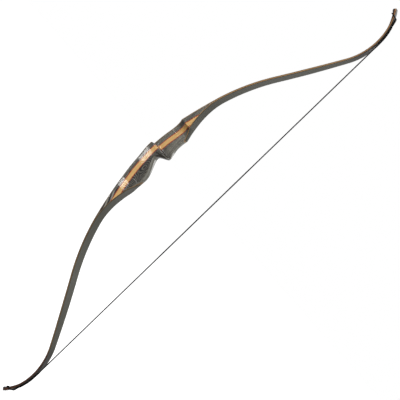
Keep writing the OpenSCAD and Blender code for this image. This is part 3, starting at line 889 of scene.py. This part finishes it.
def laminate_wood(name, coat, low=0.26, high=0.95):
    """Thin dyed layers, stacked across the bow and a little aslant, so that its curves cut them into rings.

    low and high are how strongly the light layers show below the arrow shelf and above it.
    """
    mat, tree, shader = material(name)
    n = Nodes(tree)
    where = n.new("TexCoord").outputs["Object"]
    drift = n.math("SUBTRACT", n.noise(n.stretch(where, (1, 1, 0.5)), 40, 1), 0.5)
    drift = n.math("MULTIPLY", drift, 0.0007)
    ways = []
    for height in RINGS_BELOW:
        way = n.new("VectorMath", operation="LENGTH")
        centred = n.shift(where, (0, -0.0005, height))
        n.link(n.stretch(centred, (0, 1 / RING_DEEP, 1 / RING_TALL)), way.inputs[0])
        ways.append(way.outputs["Value"])
    swell = n.range(n.math("MINIMUM", *ways), 0.0, 1.0, RING_SWELL, 0.0)
    halves = n.math("ABSOLUTE", n.dot(where, RIGHT))
    along = n.dot(where, UP)
    deep = n.dot(where, FORWARD)
    tilt = n.math("MULTIPLY", deep, n.range(along, 0.0, 0.03, 0.1, 0.4))
    far_back = n.math("MAXIMUM", n.math("SUBTRACT", deep, 0.012), 0.0)
    tilt = n.math("ADD", tilt, n.math("MULTIPLY", far_back, 0.3))
    across = n.math("SUBTRACT", tilt, n.math("MULTIPLY", halves, n.range(along, 0.0, 0.03, 0.3, 1.0)))
    across = n.math("SUBTRACT", across, n.math("MULTIPLY", along, 0.047))
    across = n.math("ADD", n.math("ADD", across, drift), swell)
    turn = n.math("ADD", n.math("MULTIPLY", across, 1000 / LAYER_PAIR), 0.5)
    wave = n.math("SINE", n.math("MULTIPLY", turn, 2 * math.pi))
    layer = n.new("TexWhiteNoise", noise_dimensions="1D")
    n.link(n.math("FLOOR", n.math("ADD", turn, 0.25)), layer.inputs["W"])
    share = n.math("MULTIPLY", n.range(wave, -0.4, 0.75, 0.0, 1.0),
                   n.range(layer.outputs["Value"], 0.0, 1.0, 0.5, 1.0))
    share = n.math("MULTIPLY", share, n.range(along, *SHELF_BAND, low, high))
    fibre = n.noise(n.stretch(where, (500, 500, 30)), 1.0, 3, 0.6)
    dark = n.mix(fibre, srgb(12, 8, 6), srgb(26, 20, 14))
    light = n.mix(fibre, srgb(144, 141, 128), srgb(214, 209, 192))
    base = n.mix(share, dark, light)
    # faces towards the archer, unless they tilt down, get an even grey in place of the layers: a painted
    # sheen of the lit belly band
    normal = n.new("TexCoord").outputs["Normal"]
    painted_sheen_share = n.range(n.dot(normal, BACKWARD), 0.45, 0.6, 0.0, 0.8, smooth=True)
    painted_sheen_share = n.math("MULTIPLY", painted_sheen_share, n.range(n.dot(normal, UP), -0.35, -0.15, 0.0, 1.0))
    base = n.mix(painted_sheen_share, base, n.mix(fibre, srgb(74, 72, 62), srgb(104, 101, 88)))
    # end grain turns dark brown: partly its own tone, partly painted shade under ledges and in the scoop
    n.link(n.mix(n.end_grain_and_shade(0.85), base, srgb(30, 20, 13)), shader.inputs["Base Color"])
    finish(shader, 0.32, 0.05, coat, 0.06)
    n.bump(n.math("ADD", fibre, n.math("MULTIPLY", share, 0.5)), WOOD_BUMP, 0.2, shader)
    n.link(n.range(fibre, 0.3, 0.7, 0.26, 0.4), shader.inputs["Roughness"])
    return mat


def plain_wood(name, dark_tone, light_tone, band, gloss):
    """Straight-grained wood of the riser's middle layers."""
    mat, tree, shader = material(name)
    n = Nodes(tree)
    where = n.new("TexCoord").outputs["Object"]
    broad = n.noise(n.stretch(where, (30, 70, 5)), 1.0, 3)
    fibre = n.noise(n.stretch(where, (260, 260, 9)), 1.0, 5, 0.65)
    fine = n.noise(n.stretch(where, (1500, 1500, 90)), 1.0, 3, 0.6)
    base = n.mix(n.range(fibre, 0.3, 0.7, 0.0, 1.0), dark_tone, light_tone)
    base = n.mix(n.range(broad, 0.35, 0.7, 0.0, 0.55), base, band)
    base = n.mix(n.range(fine, 0.3, 0.75, 0.0, 0.2), base, darker(dark_tone, 0.55))
    # end grain turns dark brown: partly its own tone, partly painted shade under ledges and in the scoop
    base = n.mix(n.end_grain_and_shade(0.8), base, tuple(c * f for c, f in zip(dark_tone, (0.42, 0.36, 0.28))))
    n.link(base, shader.inputs["Base Color"])
    finish(shader, 0.3, 0.05, gloss, 0.06)
    n.link(n.range(fine, 0.3, 0.7, 0.26, 0.42), shader.inputs["Roughness"])
    n.bump(n.math("ADD", n.math("MULTIPLY", fibre, 0.5), fine), WOOD_BUMP, 0.2, shader)
    return mat


def bow_wood(name, dark_tone, light_tone, gloss=0.3, upper_glint_share=0.0):
    """Wood of the limbs. Its last argument says how far it turns pale above the riser: painted warm light on
    the upper limb's core.
    """
    mat, tree, shader = material(name)
    n = Nodes(tree)
    where = n.new("Attribute", attribute_name="bow").outputs["Vector"]
    fibre = n.noise(n.stretch(where, (700, 1800, 9)), 1.0, 4, 0.6)
    fine = n.noise(n.stretch(where, (2200, 3000, 60)), 1.0, 3, 0.6)
    base = n.mix(n.range(fibre, 0.3, 0.7, 0.0, 1.0), dark_tone, light_tone)
    base = n.mix(n.range(fine, 0.4, 0.75, 0.0, 0.3), base, darker(dark_tone, 0.5))
    base = n.toward_tip(where, base, 0.85, srgb(74, 32, 12))
    # above the riser the core turns pale: a painted glint of warm light on the upper limb's edges
    upper = n.range(n.dot(where, UP), *CORE_GLINT_RISE, 0.0, upper_glint_share, smooth=True)
    n.link(n.mix(upper, base, srgb(206, 160, 110)), shader.inputs["Base Color"])
    finish(shader, 0.35, 0.1, gloss, 0.1)
    n.link(n.range(fine, 0.3, 0.7, 0.3, 0.45), shader.inputs["Roughness"])
    n.bump(n.math("ADD", fibre, fine), FIBRE_BUMP, 0.2, shader)
    return mat


def glass_skin(name, low_tone, high_tone, roughness, specular):
    """Glass laid in fibres along the bow."""
    mat, tree, shader = material(name)
    n = Nodes(tree)
    where = n.new("Attribute", attribute_name="bow").outputs["Vector"]
    fibre = n.noise(n.stretch(where, (2600, 2600, 14)), 1.0, 3, 0.6)
    cloud = n.noise(n.stretch(where, (60, 60, 16)), 1.0, 3, 0.5)
    base = n.mix(n.range(fibre, 0.3, 0.7, 0.0, 1.0), low_tone, high_tone)
    base = n.mix(n.range(cloud, 0.35, 0.7, 0.0, 0.3), base, darker(low_tone, 0.72))
    n.link(n.toward_tip(where, base, 0.95, srgb(20, 14, 10)), shader.inputs["Base Color"])
    finish(shader, roughness, specular)
    n.link(n.range(fibre, 0.3, 0.7, roughness - 0.05, roughness + 0.07), shader.inputs["Roughness"])
    n.bump(fibre, FIBRE_BUMP, 0.2, shader)
    return mat


def thread(name, tone, pitch, roughness, specular, angle=0.0):
    """Wound or twisted thread, its turns following the piece's own length."""
    mat, tree, shader = material(name)
    n = Nodes(tree)
    where = n.new("Attribute", attribute_name="turns").outputs["Vector"]
    split = n.new("SeparateXYZ")
    n.link(where, split.inputs[0])
    phase = n.math("ADD", n.math("MULTIPLY", split.outputs[0], 1 / pitch),
                   n.math("MULTIPLY", split.outputs[1], angle))
    wave = n.math("ABSOLUTE", n.math("SINE", n.math("MULTIPLY", phase, math.pi)))
    fuzz = n.noise(n.stretch(where, (2500, 3, 1)), 1.0, 3, 0.6)
    # the seams between the turns are darker: painted shade in the grooves between them
    share = n.math("MULTIPLY", wave, n.range(fuzz, 0.3, 0.7, 0.6, 1.0))
    n.link(n.mix(share, darker(tone, 0.35), tone), shader.inputs["Base Color"])
    finish(shader, roughness, specular)
    n.link(n.range(fuzz, 0.3, 0.7, roughness - 0.08, roughness + 0.1), shader.inputs["Roughness"])
    n.bump(n.math("ADD", wave, n.math("MULTIPLY", fuzz, 0.3)), THREAD_BUMP, 0.6, shader)
    return mat


STRAND_LOBES, STRAND_PITCH, WOUND_PITCH = 8, 0.0009, 0.0005
MAPLE_TONES = srgb(210, 160, 90), srgb(238, 196, 126), srgb(220, 172, 100)
wood = laminate_wood("laminated_dark_wood", 0.72)
back_wood = laminate_wood("laminated_back_wood", 0.72, 0.6, 0.78)
# copies with little coat for faces that point down: painted shade
underside_shade_wood = laminate_wood("laminated_underside_shade", 0.1)
maple = plain_wood("maple", *MAPLE_TONES, gloss=0.8)
underside_shade_maple = plain_wood("maple_underside_shade", *MAPLE_TONES, gloss=0.1)
red = plain_wood("red_veneer", srgb(140, 32, 8), srgb(192, 60, 22), srgb(160, 42, 12), gloss=0.6)
core = bow_wood("limb_core", srgb(88, 66, 42), srgb(134, 106, 72), gloss=0.1, upper_glint_share=0.38)
glass = glass_skin("limb_glass", srgb(44, 43, 34), srgb(64, 63, 51), 0.42, 0.15)
wedge_wood = bow_wood("tip_wedge", srgb(58, 32, 16), srgb(104, 62, 34))
overlay_black = glass_skin("tip_overlay", srgb(20, 20, 20), srgb(34, 34, 34), 0.22, 0.5)
strand = thread("string_strands", srgb(13, 13, 14), STRAND_PITCH, 0.55, 0.08, STRAND_LOBES / (2 * math.pi))
winding = thread("serving_thread", srgb(16, 16, 17), WOUND_PITCH, 0.5, 0.1)
end_winding = thread("end_serving_thread", srgb(14, 13, 12), WOUND_PITCH, 0.6, 0.06)


def hold(obj, body, blend, nodes):
    """Ties a piece to its body, or bakes a blended piece into the frame, and hides the imported parts that
    it stands for.
    """
    if blend:
        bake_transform(obj)
    else:
        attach(obj, body)
    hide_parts(*nodes)


def dress(obj, mat, body, slot, *nodes, blend=None):
    obj.data.materials.clear()
    obj.data.materials.append(mat)
    bow_coords(obj)
    hold(obj, body, blend, nodes)


def shade_faces_below(obj, mat):
    """Faces that point down take a copy of the material with little coat, so they mirror less of the bright
    floor: painted shade under the riser's ledges.
    """
    obj.data.materials.append(mat)
    for face in obj.data.polygons:
        if face.normal.z < -0.35:
            face.material_index = 1


def turns(path, count):
    """Distance along and angle around, for thread, in the order of a tube's own points."""
    data, run = [], 0.0
    for i, p in enumerate(path):
        if i:
            run += math.dist(p, path[i - 1])
        data += [(run * MM, 2 * math.pi * k / count, 0.0) for k in range(count)]
    return data


def string_tube(name, path, radius_at, count, mat, node, body, closed=False, blend=None):
    obj = tube(name, path, radius_at, count, closed)
    keep_vectors(obj, "turns", turns(path, count))
    obj.data.materials.append(mat)
    hold(obj, body, blend, [node])


# The riser's pieces.
cutter = window_cutter()
belly_block = wood_layer("belly_block_wood", VENEER_LOW, PAST_BELLY, 12, True)
belly_veneer = wood_layer("belly_veneer_line", STRIPE_LOW, VENEER_LOW, 3)
stripe = wood_layer("maple_stripe", STRIPE_TOP, STRIPE_LOW, 9)
back_veneer = wood_layer("back_veneer_line", VENEER_TOP, STRIPE_TOP, 3)
back_block = wood_layer("back_block_wood", PAIR_T, VENEER_TOP, 11)
middle_core = back_lamination("middle_back_core", GLASS_T, PAIR_T)
middle_glass = back_lamination("middle_back_glass", 0, GLASS_T)
for obj in (belly_block, belly_veneer, stripe, back_veneer, back_block, middle_core, middle_glass):
    cut(obj, cutter)
    soften_shelf(obj)
dress(belly_block, wood, "riser", "riser_wood", "riser_belly_block")
shade_faces_below(belly_block, underside_shade_wood)
dress(belly_veneer, red, "riser", "red_veneer", "riser_belly_veneer")
dress(stripe, maple, "riser", "maple", "riser_stripe")
shade_faces_below(stripe, underside_shade_maple)
dress(back_veneer, red, "riser", "red_veneer", "riser_back_veneer")
dress(back_block, back_wood, "riser", "riser_wood", "riser_back_block")
shade_faces_below(back_block, underside_shade_wood)
dress(middle_core, core, "riser", "limb_core", "riser_back_core")
dress(middle_glass, glass, "riser", "limb_glass", "riser_back_glass")

# The limbs' pieces. BEND_FROM and BEND_TO are two points of a limb's hinge zone, given as s at one depth.
BEND_FROM, BEND_TO, BEND_DEPTH = 252, 492, 2.6
LAMINATIONS = [
    ("back_glass", False, ((0, 0), (1, 0)), "top", glass, "limb_glass"),
    ("back_core", False, ((1, 0), (1, 1)), None, core, "limb_core"),
    ("belly_core", True, ((1, 1), (1, 2)), None, core, "limb_core"),
    ("belly_glass", True, ((1, 2), (2, 2)), "low", glass, "limb_glass"),
]


def served(run, _):
    return SERVED_R


def end_served(run, _):
    return SERVED_R + SWELL * ease(run / SWELL_RUN)


def in_frame(s, depth, sign):
    """A point of the bow's middle plane, in metres of the frame."""
    y, z = below(s, depth)
    return (0, y * MM, sign * z * MM)


for mirror in (False, True):
    end, sign = ("lower", -1) if mirror else ("upper", 1)
    limb, half_body = end + "_limb", end + "_string_half"
    zone = ("riser", limb, in_frame(BEND_FROM, BEND_DEPTH, sign), in_frame(BEND_TO, BEND_DEPTH, sign))
    for label, belly, shares, round_at, mat, slot in LAMINATIONS:
        obj = strip(end + "_" + label + "_strip", mirror, belly, shares, round_at)
        if belly and not mirror:
            cut(obj, cutter)
        nodes = [end + "_" + label] + ([end + "_root_" + label] if belly else [])
        dress(obj, mat, None, slot, *nodes, blend=zone)
    wedge = tip_strip(end + "_wedge", mirror, 0, WEDGE_T, False)
    dress(wedge, wedge_wood, limb, "tip_wedge", end + "_tip_wedge")
    overlay = tip_strip(end + "_overlay", mirror, WEDGE_T, WEDGE_T + OVERLAY_T, True)
    dress(overlay, overlay_black, limb, "tip_overlay", end + "_tip_overlay")

    line = [(0, CONTACT_Y, z) for z in np.linspace(STRANDS_FROM, CONTACT_Z - STRANDS_GAP, 234)]
    string_tube(end + "_strands", flipped(line, mirror), lobed(STRING_R, STRAND_LOBES, 60, 0.06), 24, strand,
                end + "_string", half_body)
    line = [(0, CONTACT_Y, z) for z in np.linspace(SERVED_GAP, SERVED_TO, 60)]
    string_tube(end + "_center_thread", flipped(line, mirror), served, 20, winding,
                end + "_center_serving", half_body)
    line = []
    for s in np.linspace(CONTACT_S, EYE_S - EYE_R - SERVED_GAP, 70):
        y, z = below(s, limb_t(s) + SERVED_R + SEAT + SWELL * ease((s - CONTACT_S) / SWELL_RUN))
        line.append((0, y, z))
    # the served end's two bodies, its limb and string half, and two points near the eye
    lift = (limb, half_body, in_frame(EYE_S - 1, limb_t(EYE_S), sign),
            in_frame(EYE_S - 9, limb_t(EYE_S), sign))
    string_tube(end + "_end_thread", flipped(line, mirror), end_served, 20, end_winding,
                end + "_end_serving", limb, blend=lift)
    string_tube(end + "_eye_loop", flipped(eye_path(9), mirror), lobed(EYE_R, 6, 14, 0.14), 18, end_winding,
                end + "_string_eye", limb, closed=True)

bpy.data.objects.remove(cutter)

# White surroundings: the floor and the world are bright where they are seen, and light the bow faintly.
FLOOR_GAP, FLOOR_HALF, FLOOR_GREY, FLOOR_GLOW = 0.0005, 6.0, 0.45, 0.85
floor_z = cad_box[0].z - FLOOR_GAP
floor_mesh = bpy.data.meshes.new("floor")
square = [(-1, -1), (1, -1), (1, 1), (-1, 1)]
floor_mesh.from_pydata([(x * FLOOR_HALF, y * FLOOR_HALF, floor_z) for x, y in square], [], [(0, 1, 2, 3)])
floor = bpy.data.objects.new("floor", floor_mesh)
scene.collection.objects.link(floor)
mat, tree, shader = material("floor")
n = Nodes(tree)
shader.inputs["Base Color"].default_value = (FLOOR_GREY, FLOOR_GREY, FLOOR_GREY, 1)
shader.inputs["Roughness"].default_value = 0.9
glow = n.new("Emission")
glow.inputs["Strength"].default_value = FLOOR_GLOW
both = n.new("AddShader")
pick = n.new("MixShader")
out = next(x for x in tree.nodes if x.type == "OUTPUT_MATERIAL")
n.link(shader.outputs[0], both.inputs[0])
n.link(glow.outputs[0], both.inputs[1])
n.link(n.seen_directly(), pick.inputs[0])
n.link(shader.outputs[0], pick.inputs[1])
n.link(both.outputs[0], pick.inputs[2])
n.link(pick.outputs[0], out.inputs["Surface"])
floor_mesh.materials.append(mat)

world = bpy.data.worlds.new("world")
scene.world = world
world.use_nodes = True
n = Nodes(world.node_tree)
background = next(x for x in world.node_tree.nodes if x.type == "BACKGROUND")
n.link(n.mix(n.seen_directly(), (0.3, 0.3, 0.3), (1.0, 1.0, 1.0)), background.inputs["Color"])


def lamp(name, place, target, size, power, tint=(1.0, 1.0, 1.0), tall=None):
    data = bpy.data.lights.new(name, "AREA")
    data.energy, data.size, data.color = power, size, tint
    if tall:
        data.shape, data.size_y = "RECTANGLE", tall
    obj = bpy.data.objects.new(name, data)
    scene.collection.objects.link(obj)
    obj.location = place
    obj.rotation_euler = (Vector(target) - Vector(place)).to_track_quat("-Z", "Y").to_euler()


# The two small lamps give the two sheens beside the grip.
ORIGIN, MID_BOW, WARM = (0, 0, 0), (0, -0.1, 0), (1.0, 0.96, 0.92)
lamp("above", (-0.3, 1.15, 2.7), MID_BOW, 1.2, 40)
lamp("key", (-2.4, -0.6, 1.8), MID_BOW, 1.5, 38)
lamp("front", (-0.5, -2.85, 0.5), ORIGIN, 2.4, 38, tall=2.0)
lamp("back_left", (-0.6, 2.9, -0.36), ORIGIN, 0.8, 14)
lamp("side_up", (-2.726, 1.258, -0.125), ORIGIN, 0.1, 0.46, WARM, 0.08)
lamp("side_down", (-2.706, 1.304, -0.68), ORIGIN, 0.085, 0.44, WARM, 0.09)
lamp("right_fill", (2.4, -0.8, 1.2), MID_BOW, 1.6, 22)
